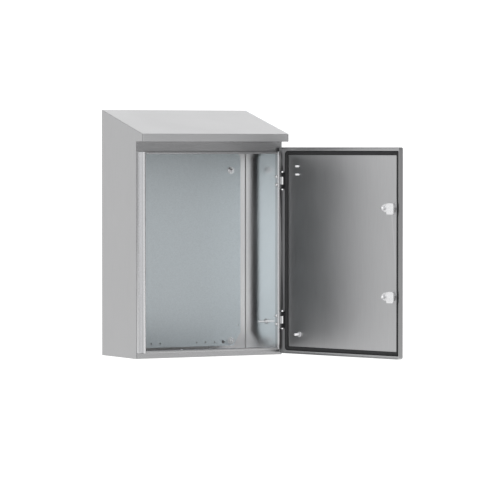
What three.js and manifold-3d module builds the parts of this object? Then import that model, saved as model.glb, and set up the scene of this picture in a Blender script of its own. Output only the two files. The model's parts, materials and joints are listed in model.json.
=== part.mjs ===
// Wall-mounted stainless-steel switchboard enclosure with a sloping rain roof.
// Millimetres, +Z up. Origin: centre of the flat back face, which lies in the plane y = 0.
// The front faces -Y and +X is the hinge side. The door is drawn closed and then swung open.
import * as THREE from 'three';
import { mergeVertices } from 'three/addons/utils/BufferGeometryUtils.js';
import Module from 'manifold-3d';

const wasm = await Module();
wasm.setup();

// ---------- driving dimensions ----------
const WIDTH = 400;                 // over the side panels
const HEIGHT = 600;                // at the back
const BODY_DEPTH = 186;            // back face to front flange
const ROOF_DEPTH = 220;            // back face to the roof's front edge
const ROOF_FRONT_Z = 240.7;        // top of the front edge
const SOFFIT_Z = 222;              // underside of the roof overhang
const SHEET = 1.5;                 // body sheet thickness
const DOOR_SHEET = 1.2;            // door sheet thickness
const SEAM = 0.25;                 // gap at a welded seam
const GAP = 0.3;                   // gap between fitted pieces

const HALF_W = WIDTH / 2;
const HALF_H = HEIGHT / 2;
const INNER_X = HALF_W - SHEET;    // inner face of a side panel
const BETWEEN_X = INNER_X - SEAM;  // end of a piece that fits between the side panels
const ROOF_SLOPE = (HALF_H - ROOF_FRONT_Z) / ROOF_DEPTH;
const ROOF_SHEET_Z = SHEET * Math.hypot(1, ROOF_SLOPE);   // roof sheet measured along Z

// front frame: a flat flange and a raised lip round the opening
const FLANGE_Y = -BODY_DEPTH;
const SIDE_FLANGE = 13.7;          // side panel face to lip
const BASE_FLANGE = 13.75;         // underside to lip
const TOP_FLANGE = 24.25;          // soffit to lip
const LIP_WIDTH = 5.5;
const LIP_HEIGHT = 15.5;           // how far the lip stands forward of the flange
const LIP_BACK_Y = FLANGE_Y - 1;   // rear edge of the lip's inner wall
const LIP_CHAMFER = 1;
const LIP_END_X = HALF_W - SIDE_FLANGE - LIP_WIDTH - SEAM;
const LIP_TOP_Z = SOFFIT_Z - TOP_FLANGE;
const LIP_BASE_Z = -HALF_H + BASE_FLANGE;

// door, a folded tray on two pin hinges
const DOOR_GAP = 8;                // flange to the door's rim when it is closed
const DOOR_DEPTH = 14.2;
const DOOR_HALF_W = 195;
const DOOR_TOP_Z = 208.3;
const DOOR_BASE_Z = -295.9;
const DOOR_RADIUS = 5;
const RIM_Y = FLANGE_Y - DOOR_GAP;
const SKIN_Y = RIM_Y - DOOR_DEPTH; // outer face of the closed door
const LINING_Y = SKIN_Y + DOOR_SHEET;
const OPEN_ANGLE = THREE.MathUtils.degToRad(107.55);
const PIVOT_X = 192.1;
const PIVOT_Y = -196.9;

// mounting plate on four welded studs
const PLATE_HALF_W = 172.5;
const PLATE_TOP_Z = 215;
const PLATE_BASE_Z = -285;
const PLATE_FRONT_Y = -23.5;
const PLATE_SHEET = 2;
const PLATE_CORNER = { x: 20, z: 33 };
const PLATE_STUD_X = 145;
const PLATE_STUD_Z = [151, -273];

// gland plate over the cable opening in the base
const GLAND_CENTRE_Y = -92;
const GLAND_OPENING = { x: 125, y: 45 };
const GLAND_PLATE = { x: 140, y: 60 };
const GLAND_SCREW = { x: 132.5, y: 52.5, r: 2.9, hole: 3.3 };
const GLAND_SEAL = 2.5;
const GLAND_SHEET = 2;

const WALL_HOLE = { x: 160, top: 262, base: -220, r: 4.25 };
const HINGE_Z = { upper: 126.5, lower: -214.5 };
const HINGE_HALF = 20;
const HINGE_STUD_PITCH = 20;
const HINGE_STUD_Y = -194.5;
const LOCK_X = -162;
const LOCK_Z = { upper: 64, lower: -146.6 };

// ---------- materials ----------
const metal = (colour, roughness) =>
  new THREE.MeshStandardMaterial({ color: colour, roughness, metalness: 1 });
const soft = (colour, roughness) =>
  new THREE.MeshStandardMaterial({ color: colour, roughness, metalness: 0 });
const brushedSteel = metal(0xc3c3c4, 0.32);
const galvanised = metal(0xaab2b8, 0.42);
const platedSteel = metal(0xd8dadc, 0.2);
const dieCast = metal(0xcfd1d2, 0.3);
const foam = soft(0x232323, 0.9);
const blackPlastic = soft(0x1c1c1e, 0.6);

// ---------- geometry helpers ----------
function asSolid(geometry) {
  const bare = geometry.clone();
  bare.deleteAttribute('normal');
  bare.deleteAttribute('uv');
  const merged = mergeVertices(bare, 1e-4);
  return new wasm.Manifold(new wasm.Mesh({
    numProp: 3,
    vertProperties: new Float32Array(merged.attributes.position.array),
    triVerts: new Uint32Array(merged.index.array),
  }));
}

function asGeometry(solid) {
  const mesh = solid.getMesh();
  const geometry = new THREE.BufferGeometry();
  geometry.setAttribute('position', new THREE.BufferAttribute(new Float32Array(mesh.vertProperties), 3));
  geometry.setIndex(new THREE.BufferAttribute(new Uint32Array(mesh.triVerts), 1));
  geometry.computeVertexNormals();
  return geometry;
}

function cut(base, ...tools) {
  const result = tools.reduce((solid, tool) => solid.subtract(asSolid(tool)), asSolid(base));
  return asGeometry(result);
}

function join(...parts) {
  const [first, ...rest] = parts.map(asSolid);
  return asGeometry(rest.reduce((solid, part) => solid.add(part), first));
}

function box(x0, x1, y0, y1, z0, z1) {
  const geometry = new THREE.BoxGeometry(x1 - x0, y1 - y0, z1 - z0);
  return geometry.translate((x0 + x1) / 2, (y0 + y1) / 2, (z0 + z1) / 2);
}

const outline = (points) => new THREE.Shape(points.map(([a, b]) => new THREE.Vector2(a, b)));

function extrude(shape, depth, curveSegments = 4) {
  return new THREE.ExtrudeGeometry(shape, { depth, bevelEnabled: false, curveSegments });
}

// shape in (y, z), swept from x0 to x1
function alongX(shape, x0, x1) {
  const turn = new THREE.Matrix4().set(0, 0, 1, x0, 1, 0, 0, 0, 0, 1, 0, 0, 0, 0, 0, 1);
  return extrude(shape, x1 - x0).applyMatrix4(turn);
}

// shape in (x, z), swept from y0 to y1
function alongY(shape, y0, y1, curveSegments) {
  return extrude(shape, y1 - y0, curveSegments).rotateX(Math.PI / 2).translate(0, y1, 0);
}

// shape in (x, y), swept from z0 to z1
const alongZ = (shape, z0, z1) => extrude(shape, z1 - z0).translate(0, 0, z0);

function roundedRectangle(x0, x1, z0, z1, radius, Kind = THREE.Shape) {
  const path = new Kind();
  path.moveTo(x0 + radius, z0);
  path.lineTo(x1 - radius, z0);
  path.absarc(x1 - radius, z0 + radius, radius, -Math.PI / 2, 0, false);
  path.lineTo(x1, z1 - radius);
  path.absarc(x1 - radius, z1 - radius, radius, 0, Math.PI / 2, false);
  path.lineTo(x0 + radius, z1);
  path.absarc(x0 + radius, z1 - radius, radius, Math.PI / 2, Math.PI, false);
  path.lineTo(x0, z0 + radius);
  path.absarc(x0 + radius, z0 + radius, radius, Math.PI, Math.PI * 1.5, false);
  return path;
}

function circle(x, z, radius) {
  const path = new THREE.Path();
  path.absarc(x, z, radius, 0, Math.PI * 2, false);
  return path;
}

// round bar or hexagon along Y from y0 to y1
function bar(x, z, y0, y1, radius, sides = 20) {
  const geometry = new THREE.CylinderGeometry(radius, radius, y1 - y0, sides);
  return geometry.translate(x, (y0 + y1) / 2, z);
}

const acrossFlats = (size) => size / Math.sqrt(3);   // corner radius of a hexagon
const standX = (geometry) => geometry.rotateZ(-Math.PI / 2);   // Y axis to X axis
const standZ = (geometry) => geometry.rotateX(Math.PI / 2);    // Y axis to Z axis

// turned piece about the Y axis from [radius, y] points, ordered from low y to high y outside
function turned(points, segments = 20) {
  return new THREE.LatheGeometry(points.map(([r, y]) => new THREE.Vector2(r, y)), segments);
}

// flanged hexagon nut standing on the plane y = 0, towards -y
function flangedNut(acrossSize, height, flangeRadius, flangeHeight, bore) {
  const hexagon = bar(0, 0, -height, 0, acrossFlats(acrossSize), 6);
  const flange = bar(0, 0, -flangeHeight, 0, flangeRadius, 24);
  return cut(join(hexagon, flange), bar(0, 0, -height - 1, 1, bore));
}

// ---------- the scene graph ----------
const cabinet = new THREE.Group();

function add(parent, name, geometry, material, position = [0, 0, 0]) {
  const mesh = new THREE.Mesh(geometry, material);
  mesh.name = name;
  mesh.position.set(...position);
  parent.add(mesh);
}

// ---------- body shell ----------
function sidePanel(outerX) {
  const shape = outline([
    [0, -HALF_H], [0, HALF_H], [-ROOF_DEPTH, ROOF_FRONT_Z], [-ROOF_DEPTH, SOFFIT_Z],
    [FLANGE_Y, SOFFIT_Z], [FLANGE_Y, -HALF_H],
  ].reverse());
  const innerX = outerX - Math.sign(outerX) * SHEET;
  return alongX(shape, Math.min(outerX, innerX), Math.max(outerX, innerX));
}

function backPanel() {
  const shape = outline([
    [-BETWEEN_X, -HALF_H], [BETWEEN_X, -HALF_H], [BETWEEN_X, HALF_H - 2.3], [-BETWEEN_X, HALF_H - 2.3],
  ]);
  for (const x of [-WALL_HOLE.x, WALL_HOLE.x]) {
    for (const z of [WALL_HOLE.top, WALL_HOLE.base]) shape.holes.push(circle(x, z, WALL_HOLE.r));
  }
  return alongY(shape, -SHEET, 0);
}

function rainRoof() {
  const innerFrontY = -ROOF_DEPTH + SHEET;
  const innerFrontZ = HALF_H + innerFrontY * ROOF_SLOPE - ROOF_SHEET_Z;
  const soffitEndY = FLANGE_Y - SEAM;
  const shape = outline([
    [0, HALF_H], [-ROOF_DEPTH, ROOF_FRONT_Z], [-ROOF_DEPTH, SOFFIT_Z], [soffitEndY, SOFFIT_Z],
    [soffitEndY, SOFFIT_Z + SHEET], [innerFrontY, SOFFIT_Z + SHEET], [innerFrontY, innerFrontZ],
    [0, HALF_H - ROOF_SHEET_Z],
  ]);
  return alongX(shape, -BETWEEN_X, BETWEEN_X);
}

function basePanel() {
  const floor = box(-BETWEEN_X, BETWEEN_X, FLANGE_Y + SHEET + SEAM, -SHEET - SEAM, -HALF_H, -HALF_H + SHEET);
  const opening = box(-GLAND_OPENING.x, GLAND_OPENING.x, GLAND_CENTRE_Y - GLAND_OPENING.y,
    GLAND_CENTRE_Y + GLAND_OPENING.y, -HALF_H - 1, -HALF_H + SHEET + 1);
  return cut(floor, opening, ...glandScrewHoles());
}

add(cabinet, 'side_panel_left', sidePanel(-HALF_W), brushedSteel);
add(cabinet, 'side_panel_right', sidePanel(HALF_W), brushedSteel);
add(cabinet, 'back_panel', backPanel(), brushedSteel);
add(cabinet, 'rain_roof', rainRoof(), brushedSteel);
add(cabinet, 'base_panel', basePanel(), brushedSteel);

// ---------- front frame ----------
// closed section in (inward distance, y): flange, raised lip with a folded top, and inner wall
function railSection(start, lip) {
  const lipEnd = lip + LIP_WIDTH;
  const frontY = FLANGE_Y - LIP_HEIGHT;
  return [
    [start, FLANGE_Y], [lip, FLANGE_Y], [lip, frontY + LIP_CHAMFER], [lip + LIP_CHAMFER, frontY],
    [lipEnd - LIP_CHAMFER, frontY], [lipEnd, frontY + LIP_CHAMFER], [lipEnd, LIP_BACK_Y],
    [lipEnd - SHEET, LIP_BACK_Y], [lipEnd - SHEET, frontY + SHEET], [lip + SHEET, frontY + SHEET],
    [lip + SHEET, FLANGE_Y + SHEET], [start, FLANGE_Y + SHEET],
  ];
}

function sideRail(side) {
  const section = railSection(SHEET + SEAM, SIDE_FLANGE).map(([d, y]) => [side * (HALF_W - d), y]);
  return alongZ(outline(section), LIP_BASE_Z + SEAM, LIP_TOP_Z - SEAM);
}

// the lip stops short of the side rails, and the flange runs the whole width
function crossRail(section, lipFromZ, lipToZ) {
  const rail = alongX(outline(section), -BETWEEN_X, BETWEEN_X);
  const clear = (x0, x1) => box(x0, x1, FLANGE_Y - LIP_HEIGHT - 1, FLANGE_Y + SHEET + 1, lipFromZ, lipToZ);
  return cut(rail, clear(LIP_END_X, HALF_W), clear(-HALF_W, -LIP_END_X));
}

function hingeStudHoles() {
  const holes = [];
  for (const centre of Object.values(HINGE_Z)) {
    for (const offset of [-HINGE_STUD_PITCH / 2, HINGE_STUD_PITCH / 2]) {
      const hole = standX(bar(0, 0, HALF_W - SIDE_FLANGE - LIP_WIDTH - 2, HALF_W - SIDE_FLANGE + 2, 2.8, 16));
      holes.push(hole.translate(0, HINGE_STUD_Y, centre + offset));
    }
  }
  return holes;
}

const topSection = railSection(SEAM, TOP_FLANGE).map(([d, y]) => [y, SOFFIT_Z - d]);
const baseSection = railSection(0, BASE_FLANGE).map(([d, y]) => [y, -HALF_H + d]);
add(cabinet, 'frame_rail_left', sideRail(-1), brushedSteel);
add(cabinet, 'frame_rail_right', cut(sideRail(1), ...hingeStudHoles()), brushedSteel);
add(cabinet, 'frame_rail_top', crossRail(topSection, LIP_TOP_Z - 10, LIP_TOP_Z), brushedSteel);
add(cabinet, 'frame_rail_base', crossRail(baseSection, LIP_BASE_Z, LIP_BASE_Z + 10), brushedSteel);

// ---------- gland plate ----------
function glandScrewPlaces() {
  const places = [];
  for (const x of [-GLAND_SCREW.x, 0, GLAND_SCREW.x]) {
    for (const y of [-GLAND_SCREW.y, GLAND_SCREW.y]) places.push([x, GLAND_CENTRE_Y + y]);
  }
  return places;
}

function glandScrewHoles() {
  return glandScrewPlaces().map(([x, y]) =>
    standZ(bar(0, 0, -HALF_H - 2, -HALF_H + 12, GLAND_SCREW.hole, 16)).translate(x, y, 0));
}

function glandSheet(bottomZ, thickness) {
  return box(-GLAND_PLATE.x, GLAND_PLATE.x, GLAND_CENTRE_Y - GLAND_PLATE.y,
    GLAND_CENTRE_Y + GLAND_PLATE.y, bottomZ, bottomZ + thickness);
}

const glandSealZ = -HALF_H + SHEET + SEAM;
const glandPlateZ = glandSealZ + GLAND_SEAL + SEAM;
const glandHeadZ = glandPlateZ + GLAND_SHEET + SEAM;
const glandSealWindow = box(-GLAND_OPENING.x, GLAND_OPENING.x, GLAND_CENTRE_Y - GLAND_OPENING.y,
  GLAND_CENTRE_Y + GLAND_OPENING.y, glandSealZ - 1, glandSealZ + GLAND_SEAL + 1);
const glandSealRing = cut(glandSheet(glandSealZ, GLAND_SEAL), glandSealWindow, ...glandScrewHoles());
add(cabinet, 'gland_plate_seal', glandSealRing, foam);
add(cabinet, 'gland_plate', cut(glandSheet(glandPlateZ, GLAND_SHEET), ...glandScrewHoles()), brushedSteel);
glandScrewPlaces().forEach(([x, y], i) => {
  const head = bar(0, 0, glandHeadZ, glandHeadZ + 4, acrossFlats(10), 6);
  const shank = bar(0, 0, -HALF_H + 0.5, glandHeadZ + 1, GLAND_SCREW.r, 16);
  add(cabinet, `gland_plate_screw_${i + 1}`, standZ(join(head, shank)), platedSteel, [x, y, 0]);
});

// ---------- mounting plate ----------
function mountingPlate() {
  const [cx, cz] = [PLATE_CORNER.x, PLATE_CORNER.z];
  const [w, top, base] = [PLATE_HALF_W, PLATE_TOP_Z, PLATE_BASE_Z];
  const shape = outline([
    [-w + cx, base], [w - cx, base], [w, base + cz], [w, top - cz],
    [w - cx, top], [-w + cx, top], [-w, top - cz], [-w, base + cz],
  ]);
  const studHoles = [];
  for (const x of [-PLATE_STUD_X, PLATE_STUD_X]) {
    for (const z of PLATE_STUD_Z) studHoles.push(circle(x, z, 4.4));
  }
  const rowZ = base + 9.8;
  const smallHoles = [-77.5, -52.5, 48.5, 73.5, 98.5].map((x) => circle(x, rowZ, 2.2));
  shape.holes.push(...studHoles, ...smallHoles, circle(123.5, rowZ, 4.1), circle(165.5, -235, 1.8));
  return alongY(shape, PLATE_FRONT_Y, PLATE_FRONT_Y + PLATE_SHEET, 5);
}

add(cabinet, 'mounting_plate', mountingPlate(), galvanised);

const plateStud = turned([
  [0, -37], [3.2, -37], [4, -36.2], [4, PLATE_FRONT_Y + PLATE_SHEET + SEAM],
  [8, PLATE_FRONT_Y + PLATE_SHEET + SEAM], [8, -SHEET - SEAM], [0, -SHEET - SEAM],
]);
const plateNut = flangedNut(13, 7, 9, 1.6, 4.3);
let plateStudCount = 0;
for (const z of PLATE_STUD_Z) {
  for (const x of [-PLATE_STUD_X, PLATE_STUD_X]) {
    plateStudCount += 1;
    add(cabinet, `plate_stud_${plateStudCount}`, plateStud, platedSteel, [x, 0, z]);
    add(cabinet, `plate_nut_${plateStudCount}`, plateNut, platedSteel, [x, PLATE_FRONT_Y - SEAM, z]);
  }
}

// ---------- sealing plugs in the wall-fixing holes ----------
const wallPlug = turned([
  [0, -4.2], [5.2, -4.2], [6.4, -3.4], [6.4, -SHEET - SEAM], [3.9, -SHEET - SEAM], [3.9, -0.25], [0, -0.25],
]);
let wallPlugCount = 0;
for (const z of [WALL_HOLE.top, WALL_HOLE.base]) {
  for (const x of [-WALL_HOLE.x, WALL_HOLE.x]) {
    wallPlugCount += 1;
    add(cabinet, `wall_hole_plug_${wallPlugCount}`, wallPlug, blackPlastic, [x, 0, z]);
  }
}

// ---------- earth stud on the right-hand wall ----------
const EARTH_Y = -110;
const EARTH_Z = -222;
const bodyEarthStud = standX(turned([
  [0, 176], [2.4, 176], [3, 176.8], [3, INNER_X - GAP], [0, INNER_X - GAP],
]));
const bodyEarthNut = standX(flangedNut(10, 5, 6.6, 1.4, 3.3));
add(cabinet, 'body_earth_stud', bodyEarthStud, platedSteel, [0, EARTH_Y, EARTH_Z]);
add(cabinet, 'body_earth_nut', bodyEarthNut, platedSteel, [INNER_X - GAP, EARTH_Y, EARTH_Z]);

// ---------- door group, drawn closed and swung about the hinge pins ----------
const doorSwing = new THREE.Group();
doorSwing.position.set(PIVOT_X, PIVOT_Y, 0);
doorSwing.rotation.z = OPEN_ANGLE;
const door = new THREE.Group();
door.position.set(-PIVOT_X, -PIVOT_Y, 0);
doorSwing.add(door);
cabinet.add(doorSwing);

function doorPanel() {
  const tray = alongY(roundedRectangle(-DOOR_HALF_W, DOOR_HALF_W, DOOR_BASE_Z, DOOR_TOP_Z, DOOR_RADIUS),
    SKIN_Y, RIM_Y);
  const hollow = alongY(roundedRectangle(-DOOR_HALF_W + DOOR_SHEET, DOOR_HALF_W - DOOR_SHEET,
    DOOR_BASE_Z + DOOR_SHEET, DOOR_TOP_Z - DOOR_SHEET, DOOR_RADIUS - DOOR_SHEET), LINING_Y, RIM_Y + 1);
  const half = HINGE_HALF + 3;
  const notches = Object.values(HINGE_Z).map((z) =>
    box(DOOR_HALF_W - DOOR_SHEET - 0.2, DOOR_HALF_W + 1, LINING_Y, RIM_Y + 1, z - half, z + half));
  const lockHoles = Object.values(LOCK_Z).map((z) => bar(LOCK_X, z, SKIN_Y - 1, LINING_Y + 1, 10.2));
  return cut(tray, hollow, ...notches, ...lockHoles);
}

// foam ring that meets the lip when the door is closed
function doorGasket() {
  const ring = roundedRectangle(-187.6, 187.6, -289.5, 199.9, 10);
  ring.holes.push(roundedRectangle(-177.45, 177.45, -278.8, 189.3, 2, THREE.Path));
  return alongY(ring, LINING_Y + GAP, FLANGE_Y - LIP_HEIGHT - 0.5);
}

add(door, 'door_panel', doorPanel(), brushedSteel);
add(door, 'door_gasket', doorGasket(), foam);

// ---------- hinges ----------
const KNUCKLE_R = 2.8;
const KNUCKLE_BORE = 1.6;
const KNUCKLE_MID = 9;             // half length of the body leaf's knuckle
const LIP_INNER_X = HALF_W - SIDE_FLANGE - LIP_WIDTH;

const knuckle = (z0, z1, radius) => standZ(bar(0, 0, z0, z1, radius)).translate(PIVOT_X, PIVOT_Y, 0);

function hingeBodyLeaf() {
  const leafX = HALF_W - SIDE_FLANGE + GAP;
  const leafY = FLANGE_Y - GAP;
  const leaf = box(leafX, leafX + 1.75, leafY - 13, leafY, -HINGE_HALF, HINGE_HALF);
  const arm = box(leafX + 1, PIVOT_X, PIVOT_Y - 2.2, PIVOT_Y + 2.2, -KNUCKLE_MID, KNUCKLE_MID);
  const studs = [-1, 1].map((side) =>
    standX(bar(0, 0, LIP_INNER_X - 2.9, leafX + 1, 2.4, 16))
      .translate(0, HINGE_STUD_Y, side * HINGE_STUD_PITCH / 2));
  const whole = join(leaf, arm, knuckle(-KNUCKLE_MID, KNUCKLE_MID, KNUCKLE_R), ...studs);
  return cut(whole, knuckle(-HINGE_HALF, HINGE_HALF, KNUCKLE_BORE));
}

function hingeDoorLeaf() {
  const leafY = LINING_Y + GAP;
  const leaf = box(188.7, DOOR_HALF_W - DOOR_SHEET - GAP, leafY, leafY + 1.7, -HINGE_HALF, HINGE_HALF);
  const armShape = outline([
    [190, leafY], [193.4, leafY], [PIVOT_X + 2, PIVOT_Y], [PIVOT_X - 2, PIVOT_Y],
  ]);
  const inner = KNUCKLE_MID + GAP;
  const arms = [[inner, HINGE_HALF], [-HINGE_HALF, -inner]].flatMap(([z0, z1]) =>
    [alongZ(armShape, z0, z1), knuckle(z0, z1, KNUCKLE_R)]);
  return cut(join(leaf, ...arms), knuckle(-HINGE_HALF - 1, HINGE_HALF + 1, KNUCKLE_BORE));
}

const hingePin = standZ(turned([
  [0, -HINGE_HALF], [0.9, -HINGE_HALF], [1.3, -HINGE_HALF + 0.6], [1.3, HINGE_HALF + GAP],
  [2.1, HINGE_HALF + GAP], [2.1, HINGE_HALF + 1.3], [0, HINGE_HALF + 1.3],
])).rotateX(Math.PI);

// cap nut on the lip's inner wall, its low dome towards -X
const capNut = standX(turned([
  [0, -4.4], [1.8, -4.2], [3.1, -3.4], [3.7, -2.2], [3.7, -1.6], [4.3, -1.3], [4.3, 0],
  [2.7, 0], [2.7, -2.9], [0, -2.9],
], 24));

for (const [place, z] of Object.entries(HINGE_Z)) {
  add(cabinet, `hinge_${place}_body_leaf`, hingeBodyLeaf(), dieCast, [0, 0, z]);
  add(cabinet, `hinge_${place}_pin`, hingePin, platedSteel, [PIVOT_X, PIVOT_Y, z]);
  add(door, `hinge_${place}_door_leaf`, hingeDoorLeaf(), dieCast, [0, 0, z]);
  [1, -1].forEach((side, i) => add(cabinet, `hinge_${place}_cap_nut_${i + 1}`, capNut, platedSteel,
    [LIP_INNER_X - GAP, HINGE_STUD_Y, z + side * HINGE_STUD_PITCH / 2]));
}

// ---------- welded studs inside the door ----------
const accessoryStud = turned([
  [0, LINING_Y + GAP], [2.5, LINING_Y + GAP], [2.5, -194.3], [2, -193.7], [0, -193.7],
], 16);
add(door, 'door_stud_1', accessoryStud, platedSteel, [142.6, 0, 161.7]);
add(door, 'door_stud_2', accessoryStud, platedSteel, [142.6, 0, 141.7]);

const doorEarthStud = turned([
  [0, LINING_Y + GAP], [3, LINING_Y + GAP], [3, -188.3], [2.4, -187.5], [0, -187.5],
], 16);
const doorEarthNut = flangedNut(10, 5, 6.6, 1.4, 3.3).rotateX(Math.PI);
add(door, 'door_earth_stud', doorEarthStud, platedSteel, [139.6, 0, -248.5]);
add(door, 'door_earth_nut', doorEarthNut, platedSteel, [139.6, LINING_Y + GAP, -248.5]);

// ---------- quarter-turn locks ----------
const BARREL_END_Y = -181.3;
const CAM_Y = -180;                // face of the cam that pulls on the lip
const CAM_SHEET = 3;
const CAM_BACK_Y = CAM_Y + CAM_SHEET;
const TENON = 3.5;                 // half width of the square end

const lockHousing = turned([
  [5.1, SKIN_Y - 5], [12.5, SKIN_Y - 5], [14, SKIN_Y - 3.5], [14, SKIN_Y - GAP], [9.7, SKIN_Y - GAP],
  [9.7, BARREL_END_Y], [5.1, BARREL_END_Y], [5.1, SKIN_Y - 5],
], 28);

// six flats, two of them level
const lockNut = cut(
  bar(0, 0, LINING_Y + GAP, LINING_Y + GAP + 6, acrossFlats(22), 6).rotateY(Math.PI / 6),
  bar(0, 0, LINING_Y - 1, LINING_Y + 8, 10.1, 28));

function lockInsert() {
  const core = turned([
    [0, SKIN_Y - 4], [1.5, SKIN_Y - 4], [1.5, SKIN_Y + 1], [3.7, SKIN_Y + 1], [3.7, SKIN_Y - 4.6],
    [4.7, SKIN_Y - 4.6], [4.7, CAM_Y - GAP], [0, CAM_Y - GAP],
  ]);
  const bits = box(-2.7, 2.7, SKIN_Y - 4, SKIN_Y + 2, -0.6, 0.6);
  const tenon = box(-TENON, TENON, CAM_Y - 1, CAM_BACK_Y - GAP, -TENON, TENON);
  return cut(join(core, bits, tenon), bar(0, 0, CAM_Y - 10.5, CAM_BACK_Y + 1, 2.8, 16));
}

// flat tongue that reaches behind the frame lip, towards -X
function lockCam() {
  const shape = outline([
    [6, -5.6], [6, 5.6], [-7, 5.6], [-8.5, 11], [-28, 11],
    [-30, 9], [-30, -12.5], [-27.5, -15], [-8.5, -15], [-7, -5.6],
  ].reverse());
  const hole = TENON + GAP;
  shape.holes.push(outline([[-hole, -hole], [hole, -hole], [hole, hole], [-hole, hole]]));
  return alongY(shape, CAM_Y, CAM_BACK_Y);
}

const camScrew = turned([
  [0, CAM_Y - 9], [2.5, CAM_Y - 9], [2.5, CAM_BACK_Y + GAP], [4.6, CAM_BACK_Y + GAP], [4.6, CAM_BACK_Y + 5.2],
  [3.7, CAM_BACK_Y + 6.9], [1.8, CAM_BACK_Y + 7.5], [0, CAM_BACK_Y + 7.5],
]);

for (const [place, z] of Object.entries(LOCK_Z)) {
  const at = [LOCK_X, 0, z];
  add(door, `lock_${place}_housing`, lockHousing, dieCast, at);
  add(door, `lock_${place}_nut`, lockNut, platedSteel, at);
  add(door, `lock_${place}_insert`, lockInsert(), dieCast, at);
  add(door, `lock_${place}_cam`, lockCam(), platedSteel, at);
  add(door, `lock_${place}_cam_screw`, camScrew, platedSteel, at);
}

export default cabinet;
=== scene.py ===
import json
import math

import bpy
import numpy as np
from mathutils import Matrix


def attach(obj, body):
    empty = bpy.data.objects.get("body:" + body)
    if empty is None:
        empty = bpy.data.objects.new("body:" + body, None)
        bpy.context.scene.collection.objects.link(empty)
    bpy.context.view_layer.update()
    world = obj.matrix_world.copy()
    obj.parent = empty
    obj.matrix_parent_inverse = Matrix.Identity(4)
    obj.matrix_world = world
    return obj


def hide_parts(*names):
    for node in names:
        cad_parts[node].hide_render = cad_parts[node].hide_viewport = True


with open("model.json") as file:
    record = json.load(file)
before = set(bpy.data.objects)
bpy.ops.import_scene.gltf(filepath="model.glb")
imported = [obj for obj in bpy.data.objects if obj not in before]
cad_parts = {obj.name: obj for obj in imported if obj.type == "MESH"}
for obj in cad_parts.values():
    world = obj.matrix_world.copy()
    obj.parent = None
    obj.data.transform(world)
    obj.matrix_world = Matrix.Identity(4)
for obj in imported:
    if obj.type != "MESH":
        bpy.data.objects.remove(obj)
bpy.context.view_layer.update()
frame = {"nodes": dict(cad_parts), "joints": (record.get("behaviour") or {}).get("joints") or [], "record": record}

# ---------------------------------------------------------------- camera
# A long lens, a little above the middle of the cabinet and to its left, so that the side panel,
# the inside and the open door all show.
camera_yaw = 0.497671
camera_pitch = 0.029791
lens = bpy.data.cameras.new("camera")
lens.sensor_width = 36.0
lens.lens = 248.422
camera = bpy.data.objects.new("camera", lens)
camera.location = (-3.90886, -7.58547, 0.20857)
camera.rotation_euler = (math.pi / 2 - camera_pitch, 0, -camera_yaw)
bpy.context.scene.collection.objects.link(camera)
bpy.context.scene.camera = camera
bpy.context.scene.view_settings.view_transform = "Standard"


# ---------------------------------------------------------------- floor and backdrop
# A plain pale studio sweep: a flat floor below the cabinet that curves up into a wall behind it.
# The cabinet hangs clear of it, as it would from a wall.
def surface(name, grid, wrap_along=False, wrap_round=False, cap=False, smooth=True):
    """A mesh from a grid of points, points[i, j] for step i along and step j round.
    Each face joins (i, j), (i + 1, j), (i + 1, j + 1) and (i, j + 1). cap closes both ends of an
    unwrapped grid with one flat face each."""
    along, round_ = grid.shape[:2]
    i = np.arange(along if wrap_along else along - 1)[:, None]
    j = np.arange(round_ if wrap_round else round_ - 1)[None, :]
    i2, j2 = (i + 1) % along, (j + 1) % round_
    corners = [i * round_ + j, i2 * round_ + j, i2 * round_ + j2, i * round_ + j2]
    faces = np.stack(np.broadcast_arrays(*corners), -1).reshape(-1, 4).tolist()
    if cap:
        faces.append(list(range(round_)))
        faces.append(list(range(along * round_ - 1, (along - 1) * round_ - 1, -1)))
    mesh = bpy.data.meshes.new(name)
    mesh.from_pydata(grid.reshape(-1, 3).tolist(), [], faces)
    mesh.polygons.foreach_set("use_smooth", [smooth] * len(mesh.polygons))
    mesh.validate()
    piece = bpy.data.objects.new(name, mesh)
    bpy.context.scene.collection.objects.link(piece)
    return piece


def plain(name, colour, roughness, metallic=0.0):
    """A material with one shader, ready for its detail nodes."""
    material = bpy.data.materials.new(name)
    material.use_nodes = True
    shader = material.node_tree.nodes["Principled BSDF"]
    shader.inputs["Base Color"].default_value = (*colour, 1)
    shader.inputs["Roughness"].default_value = roughness
    shader.inputs["Metallic"].default_value = metallic
    return material, shader


bend = np.linspace(0, math.pi / 2, 24)
sweep_y = np.concatenate([[-14.0], 3.0 + 2.0 * np.sin(bend), [5.0]])
sweep_z = np.concatenate([[-0.8], 1.2 - 2.0 * np.cos(bend), [9.0]])
sweep_x = np.linspace(-12, 12, 9)
sweep_grid = np.stack(np.broadcast_arrays(
    sweep_x[None, :], sweep_y[:, None], sweep_z[:, None]), -1)
sweep = surface("studio_sweep", sweep_grid)
sweep_finish, sweep_shader = plain("pale_paper", (0.12, 0.12, 0.12), 0.9)
sweep_shader.inputs["Emission Color"].default_value = (1, 1, 1, 1)
sweep_shader.inputs["Emission Strength"].default_value = 1.0
sweep.data.materials.append(sweep_finish)


# ---------------------------------------------------------------- lights
# Large soft boxes to the left, in front and above, and a pale room for the steel to mirror, brighter above and to
# the left.
def soft_box(name, place, aim, size, power):
    light = bpy.data.lights.new(name, "AREA")
    light.shape, light.size, light.size_y, light.energy = "RECTANGLE", *size, power
    lamp = bpy.data.objects.new(name, light)
    lamp.location = place
    direction = np.array(aim, float) - np.array(place, float)
    flat = math.hypot(direction[0], direction[1])
    lamp.rotation_euler = (math.atan2(flat, -direction[2]), 0,
                           math.atan2(direction[1], direction[0]) - math.pi / 2)
    bpy.context.scene.collection.objects.link(lamp)


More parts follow.
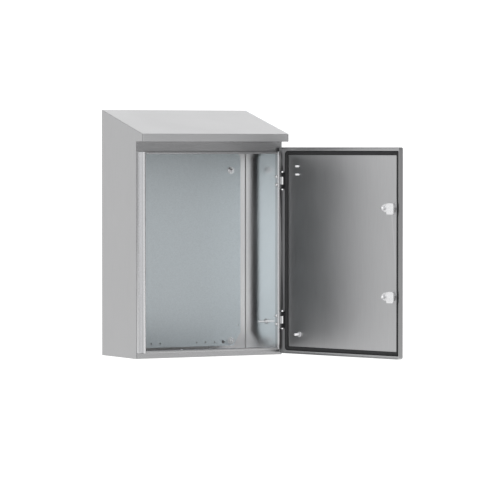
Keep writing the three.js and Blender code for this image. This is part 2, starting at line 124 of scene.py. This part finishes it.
soft_box("box_left", (-4.0, -2.0, 1.6), (0, -0.1, 0), (2.4, 2.4), 18)
soft_box("box_front", (-0.4, -4.2, 3.2), (0, -0.1, 0), (2.4, 1.6), 5)
soft_box("box_top", (-0.3, -0.8, 4.0), (0, -0.1, 0), (3.0, 2.4), 16)

def ramp(tree, source, start, end, low=0.0, high=1.0):
    """A Map Range node that takes source from low..high to start..end."""
    node = tree.nodes.new("ShaderNodeMapRange")
    for socket, value in (("From Min", low), ("From Max", high), ("To Min", start), ("To Max", end)):
        node.inputs[socket].default_value = value
    tree.links.new(source, node.inputs["Value"])
    return node


def product(tree, first, second):
    """A Math node that multiplies two values."""
    node = tree.nodes.new("ShaderNodeMath")
    node.operation = "MULTIPLY"
    tree.links.new(first, node.inputs[0])
    tree.links.new(second, node.inputs[1])
    return node.outputs["Value"]


def room_step(axis, low, high, start, end):
    """Strength that goes smoothly from start to end as a direction's x or z goes low to high."""
    step = ramp(room.node_tree, room_split.outputs[axis], start, end, low, high)
    step.interpolation_type = "SMOOTHSTEP"
    return step.outputs["Result"]


room = bpy.data.worlds.new("room")
bpy.context.scene.world = room
room.use_nodes = True
room_back = room.node_tree.nodes["Background"]
room_back.inputs["Color"].default_value = (0.985, 0.99, 1.0, 1)
room_where = room.node_tree.nodes.new("ShaderNodeTexCoord")
room_split = room.node_tree.nodes.new("ShaderNodeSeparateXYZ")
room.node_tree.links.new(room_where.outputs["Generated"], room_split.inputs[0])
room_height = room_step("Z", -0.9, 0.9, 0.62, 1.0)
room_side = room_step("X", -0.5, 0.45, 1.7, 0.44)
room.node_tree.links.new(product(room.node_tree, room_height, room_side),
                         room_back.inputs["Strength"])


# ---------------------------------------------------------------- sheet-metal body
# Stainless sheets folded and welded into one box: sides, back, base, front frame and the
# sloping rain roof. The sheet is brushed, and its cut and folded edges are slightly rounded.
def noise(tree, where, scale, detail=2.0):
    """A noise texture read at the given place."""
    node = tree.nodes.new("ShaderNodeTexNoise")
    node.inputs["Scale"].default_value = scale
    node.inputs["Detail"].default_value = detail
    tree.links.new(where, node.inputs["Vector"])
    return node.outputs["Fac"]


def uneven(tree, shader, height, strength, distance):
    """Raises and lowers a shader's surface with a height, distance in metres."""
    bump = tree.nodes.new("ShaderNodeBump")
    bump.inputs["Strength"].default_value = strength
    bump.inputs["Distance"].default_value = distance
    tree.links.new(height, bump.inputs["Height"])
    tree.links.new(bump.outputs["Normal"], shader.inputs["Normal"])


def shaded(tree, shader, colour, share):
    """Sets a shader's colour to one colour times a share that varies over the piece."""
    scaled = tree.nodes.new("ShaderNodeVectorMath")
    scaled.operation = "SCALE"
    scaled.inputs[0].default_value = colour
    tree.links.new(share, scaled.inputs["Scale"])
    tree.links.new(scaled.outputs["Vector"], shader.inputs["Base Color"])


def brushed(name, tone, roughness, grain, tint=(1.0, 1.0, 1.01), painted_outer_shade=None):
    """Brushed steel. Fine noise stretched along the grain shifts the tone, roughness and height,
    and a broad soft noise varies the roughness as handling does. The last argument is a painted shade:
    the tone of the cabinet's right outer face, x from 199.4 mm on, darker than the inner face of the same sheet."""
    colour = [tone * share for share in tint]
    material, shader = plain(name, colour, roughness, 1.0)
    tree = material.node_tree
    where = tree.nodes.new("ShaderNodeTexCoord").outputs["Object"]
    stretch = tree.nodes.new("ShaderNodeMapping")
    stretch.inputs["Scale"].default_value = [18 if axis == grain else 2600 for axis in "xyz"]
    tree.links.new(where, stretch.inputs["Vector"])
    lines = noise(tree, stretch.outputs["Vector"], 1.0, 3.0)
    broad = noise(tree, where, 7.0)
    share = ramp(tree, lines, 0.93, 1.07, 0.3, 0.7).outputs["Result"]
    # Painted shade: past x = 199.4 mm, on the outer face, the tone drops to the darker one given.
    if painted_outer_shade:
        split = tree.nodes.new("ShaderNodeSeparateXYZ")
        tree.links.new(where, split.inputs["Vector"])
        face = ramp(tree, split.outputs["X"], 1.0, painted_outer_shade / tone, 0.1990, 0.1994)
        share = product(tree, share, face.outputs["Result"])
    shaded(tree, shader, colour, share)
    both = tree.nodes.new("ShaderNodeMath")
    both.operation = "ADD"
    tree.links.new(lines, both.inputs[0])
    tree.links.new(broad, both.inputs[1])
    gloss = ramp(tree, both.outputs["Value"], roughness * 0.85, roughness * 1.15, 0.6, 1.4)
    tree.links.new(gloss.outputs["Result"], shader.inputs["Roughness"])
    uneven(tree, shader, lines, 0.05, 0.0001)
    return material


def finish_node(name, material, edge=0.0004):
    """Gives a frame node its material, joins its triangles and rounds its edges."""
    piece = frame["nodes"][name]
    piece.data.materials.clear()
    piece.data.materials.append(material)
    weld = piece.modifiers.new("join", "WELD")
    weld.merge_threshold = 0.000002
    if edge:
        rounding = piece.modifiers.new("edge", "BEVEL")
        rounding.width, rounding.segments = edge, 2
        rounding.limit_method, rounding.angle_limit = "ANGLE", math.radians(40)
        rounding.harden_normals = False
    return piece


# Painted light and shade: every sheet is the same stainless steel, but each gets its own tone, set to how bright
# it shows under these lights. The side panels' outer faces are darker, the inside faces and the base brighter, the
# roof and back between, and the upright flanges brighter than the cross flanges, a painted sheen where their grain
# catches the light.
side_steel = brushed("side_steel", 0.37, 0.34, "z")
roof_steel = brushed("roof_steel", 0.53, 0.36, "x")
inner_steel = brushed("inner_steel", 0.87, 0.20, "z", (0.975, 1.0, 1.01))
back_steel = brushed("back_steel", 0.56, 0.30, "z", (1.01, 0.99, 0.99))
floor_steel = brushed("floor_steel", 0.97, 0.36, "x")
upright_steel = brushed("upright_steel", 0.62, 0.17, "z")
cross_steel = brushed("cross_steel", 0.42, 0.22, "x")
finish_node("side_panel_left", side_steel, 0.0012)
# The right side sheet is the inside steel with its outer face painted darker, a painted shade.
right_steel = brushed("right_steel", 0.87, 0.20, "z", (0.975, 1.0, 1.01), painted_outer_shade=0.37)
finish_node("side_panel_right", right_steel, 0.0012)
finish_node("back_panel", back_steel)
finish_node("rain_roof", roof_steel, 0.0008)
finish_node("base_panel", floor_steel)
for node in ("frame_rail_left", "frame_rail_right"):
    finish_node(node, upright_steel)
for node in ("frame_rail_top", "frame_rail_base"):
    finish_node(node, cross_steel)


# ---------------------------------------------------------------- corner welds
# Where the back sheet meets each side sheet, a fine rippled weld runs up the inside corner. The
# steel is dulled by the heat.
weld_steel = brushed("weld_steel", 0.34, 0.38, "z", (1.01, 0.99, 0.97))


def weld_bead(name, corner, inward, low, high, leg=1.3, ripple=1.4):
    """A bead up an inside corner, in millimetres: at angle t the radius is
    leg (1 + 0.07 sin(2 pi z / ripple)), about the corner. inward is the way in along x."""
    z = np.linspace(low, high, int((high - low) / ripple * 6))[:, None]
    t = np.linspace(0, math.pi / 2, 7)[None, :]
    if inward > 0:
        t = t[:, ::-1]
    radius = leg * (1 + 0.07 * np.sin(2 * math.pi * z / ripple))
    face = np.stack(np.broadcast_arrays(
        corner[0] + inward * radius * np.sin(t), corner[1] - radius * np.cos(t), z), -1)
    root = np.broadcast_to(np.stack(np.broadcast_arrays(corner[0], corner[1], z), -1),
                           (len(z), 1, 3))
    bead = surface(name, np.concatenate([face, root], 1) / 1000, wrap_round=True, cap=True)
    bead.data.materials.append(weld_steel)
    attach(bead, "cabinet")


weld_corner_x, weld_corner_y, weld_low, weld_high = 198.4, -1.6, -297, 250
weld_bead("weld_back_left", (-weld_corner_x, weld_corner_y), 1, weld_low, weld_high)
weld_bead("weld_back_right", (weld_corner_x, weld_corner_y), -1, weld_low, weld_high)


# ---------------------------------------------------------------- mounting plate
# Hot-dip galvanised steel sheet with clipped corners. The zinc sets in pale crystals a few
# millimetres across, each with its own tone.
zinc_colour = (0.60, 0.645, 0.665)
zinc, zinc_shader = plain("galvanised_zinc", zinc_colour, 0.55, 1.0)
zinc_tree = zinc.node_tree
crystals = zinc_tree.nodes.new("ShaderNodeTexVoronoi")
crystals.inputs["Scale"].default_value = 520.0
crystal_split = zinc_tree.nodes.new("ShaderNodeSeparateColor")
zinc_tree.links.new(zinc_tree.nodes.new("ShaderNodeTexCoord").outputs["Object"],
                    crystals.inputs["Vector"])
zinc_tree.links.new(crystals.outputs["Color"], crystal_split.inputs["Color"])
crystal_tone = ramp(zinc_tree, crystal_split.outputs["Red"], 0.965, 1.035)
crystal_gloss = ramp(zinc_tree, crystal_split.outputs["Green"], 0.49, 0.60)
shaded(zinc_tree, zinc_shader, zinc_colour, crystal_tone.outputs["Result"])
zinc_tree.links.new(crystal_gloss.outputs["Result"], zinc_shader.inputs["Roughness"])
finish_node("mounting_plate", zinc, 0.0003)


# ---------------------------------------------------------------- door
# A folded stainless tray, brushed upwards, with rounded folds. It hangs on the right.
swing = next(j for j in frame["joints"] if j["name"] == "door_swing")
hinge_line = np.array(swing["pos_m"])
open_angle = math.radians(-swing["range_deg"][0])


def hang(points):
    """Points in millimetres on the closed door, turned about the hinge line to where it stands
    open, in metres: x' = px + dx cos a - dy sin a, y' = py + dx sin a + dy cos a."""
    closed = np.asarray(points, float) / 1000
    dx, dy = closed[..., 0] - hinge_line[0], closed[..., 1] - hinge_line[1]
    c, s = math.cos(open_angle), math.sin(open_angle)
    return np.stack([hinge_line[0] + dx * c - dy * s, hinge_line[1] + dx * s + dy * c,
                     closed[..., 2]], -1)


# The door is the same stainless steel as the cabinet; its tone, darker than the cabinet's inside, is painted
# shade.
door_steel = brushed("door_steel", 0.38, 0.32, "z")
finish_node("door_panel", door_steel, 0.0011)


# ---------------------------------------------------------------- door seal
# Black polyurethane foamed in place as one ring. It has a low crown with a faint ridge along the
# middle and a skin with fine pores, and painted shade beside each lock: its free side is widened a little there.
seal_outer, seal_inner = (187.6, 199.9, -289.5, 9.0), (177.45, 189.3, -278.8, 2.5)
seal_foot, seal_height = -206.7, 4.7


def rounded_ring(half_width, top, foot, radius, straight, turn):
    """Points round a rectangle with rounded corners: a straight run of even steps on each side,
    then a quarter circle, centre + radius (cos t, sin t), at each corner."""
    corners = [(half_width, foot, -math.pi / 2), (half_width, top, 0.0),
               (-half_width, top, math.pi / 2), (-half_width, foot, math.pi)]
    arcs = []
    for x, z, start in corners:
        t = start + np.linspace(0, math.pi / 2, turn)
        centre = (x - math.copysign(radius, x), z - math.copysign(radius, z))
        arcs.append(np.stack([centre[0] + radius * np.cos(t), centre[1] + radius * np.sin(t)], -1))
    run = np.linspace(0, 1, straight, endpoint=False)[1:, None]
    parts = []
    for k, arc in enumerate(arcs):
        ahead = arcs[(k + 1) % 4][0]
        parts += [arc, arc[-1] * (1 - run) + ahead * run]
    return np.concatenate(parts)


outer_line = rounded_ring(*seal_outer, 110, 14)
inner_line = rounded_ring(*seal_inner, 110, 14)
across = np.linspace(0, 1, 21)
crown = np.sqrt(np.clip(1 - np.abs(2 * across - 1) ** 2.6, 0, 1))
ridge = 0.10 * np.exp(-((across - 0.5) / 0.05) ** 2)
rise = (0.90 * crown + ridge) * seal_height
line = inner_line[:, None] * (1 - across[None, :, None]) + outer_line[:, None] * across[None, :, None]
# Painted shade beside each lock: the black foam is widened a little on the free side at each lock's height.
lock_heights = [1000 * joint["pos_m"][2] for joint in frame["joints"]
                if joint["name"].startswith("lock")]
beside_lock = sum(np.exp(-((line[..., 1] - z) / 14) ** 2) for z in lock_heights)
line[..., 0] -= np.where(line[..., 0] < -170, 0.7 * beside_lock, 0)
crowned = np.stack([line[..., 0], seal_foot + np.broadcast_to(rise, line.shape[:2]), line[..., 1]], -1)
under = crowned[:, -2:0:-5].copy()
under[..., 1] = seal_foot
seal = surface("door_seal", hang(np.concatenate([crowned, under], 1)), True, True)
foam, foam_shader = plain("black_foam", (0.010, 0.010, 0.011), 0.85)
foam_tree = foam.node_tree
foam_where = foam_tree.nodes.new("ShaderNodeTexCoord").outputs["Object"]
pores = foam_tree.nodes.new("ShaderNodeTexVoronoi")
pores.inputs["Scale"].default_value = 1400.0
foam_tree.links.new(foam_where, pores.inputs["Vector"])
uneven(foam_tree, foam_shader, pores.outputs["Distance"], 0.35, 0.0003)
foam_gloss = ramp(foam_tree, noise(foam_tree, foam_where, 60.0), 0.68, 0.92)
foam_tree.links.new(foam_gloss.outputs["Result"], foam_shader.inputs["Roughness"])
seal.data.materials.append(foam)
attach(seal, "door")
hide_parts("door_gasket")
finish_node("gland_plate_seal", foam, 0.0003)


# ---------------------------------------------------------------- plated hardware
# Zinc or nickel plated steel: nuts, studs, screws, cams and pins. Bright, with a fine cloudiness.
# The castings of the locks and hinges are plated too, and a little duller.
def cloudy(name, colour, metallic, gloss, scale, detail, strength, distance):
    """A finish whose roughness wanders over the gloss range with a fine noise, which also
    makes a slight relief."""
    material, shader = plain(name, colour, sum(gloss) / 2, metallic)
    tree = material.node_tree
    cloud = noise(tree, tree.nodes.new("ShaderNodeTexCoord").outputs["Object"], scale, detail)
    wander = ramp(tree, cloud, *gloss)
    tree.links.new(wander.outputs["Result"], shader.inputs["Roughness"])
    uneven(tree, shader, cloud, strength, distance)
    return material


def plated(name, tone, roughness):
    """Plated metal, its roughness within 30 percent of the one given."""
    return cloudy(name, (tone, tone, tone * 1.01), 1.0, (roughness * 0.7, roughness * 1.3),
                  420.0, 3.0, 0.06, 0.0002)


bright_plate = plated("bright_plate", 0.66, 0.28)
casting_plate = plated("casting_plate", 0.60, 0.32)


# ---------------------------------------------------------------- threaded studs
# Plated steel studs welded to the inside of the door, with rolled metric threads and chamfered
# tips: two for accessories near the top and a larger one for the earth lead near the bottom.
def threaded(name, node, foot_x, foot_z, length, radius, pitch):
    """A thread on the closed door from its lining towards +Y, in millimetres: at height h and
    angle a the radius is radius - 0.6 pitch |2 frac(h / pitch - a / 2 pi) - 1|, less the chamfer
    over the last pitch."""
    h = np.linspace(0, length, int(length / pitch * 8) + 1)[:, None]
    a = -np.linspace(0, 2 * math.pi, 24, endpoint=False)[None, :]
    tooth = np.abs(2 * np.mod(h / pitch - a / (2 * math.pi), 1) - 1)
    reach = radius - 0.6 * pitch * tooth - np.clip(h - (length - pitch), 0, None) * 0.7
    grid = np.stack(np.broadcast_arrays(
        foot_x + reach * np.cos(a), stud_foot + h, foot_z - reach * np.sin(a)), -1)
    stud = surface(name, hang(grid), wrap_round=True, cap=True, smooth=False)
    stud.data.materials.append(bright_plate)
    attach(stud, "door")
    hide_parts(node)
    replaced.add(node)


stud_foot = -206.8
replaced = {"door_gasket"}
threaded("door_stud_1_thread", "door_stud_1", 142.6, 161.7, 13.0, 2.5, 0.8)
threaded("door_stud_2_thread", "door_stud_2", 142.6, 141.7, 13.0, 2.5, 0.8)
threaded("door_earth_thread", "door_earth_stud", 139.6, -248.5, 19.2, 3.0, 1.0)


# ---------------------------------------------------------------- hinges, locks, plugs and fixings
# The hinges' door leaves are given the plugs' black finish, with a fine grain. Every other fitting has the
# plated finish of its material.
black_moulding = cloudy("black_moulding", (0.02, 0.02, 0.022), 0.0, (0.42, 0.68),
                        1800.0, 2.0, 0.2, 0.0001)
slot_finish = {"plated_steel": bright_plate, "die_cast": casting_plate,
               "black_plastic": black_moulding, "stainless": inner_steel}
for node in ("hinge_upper_door_leaf", "hinge_lower_door_leaf"):
    finish_node(node, black_moulding, 0.00015)
done = {piece.name for piece in frame["nodes"].values() if piece.modifiers} | replaced
for part in frame["record"]["subparts"]:
    if part["node"] not in done:
        finish_node(part["node"], slot_finish[part["material_slot"]], 0.00015)
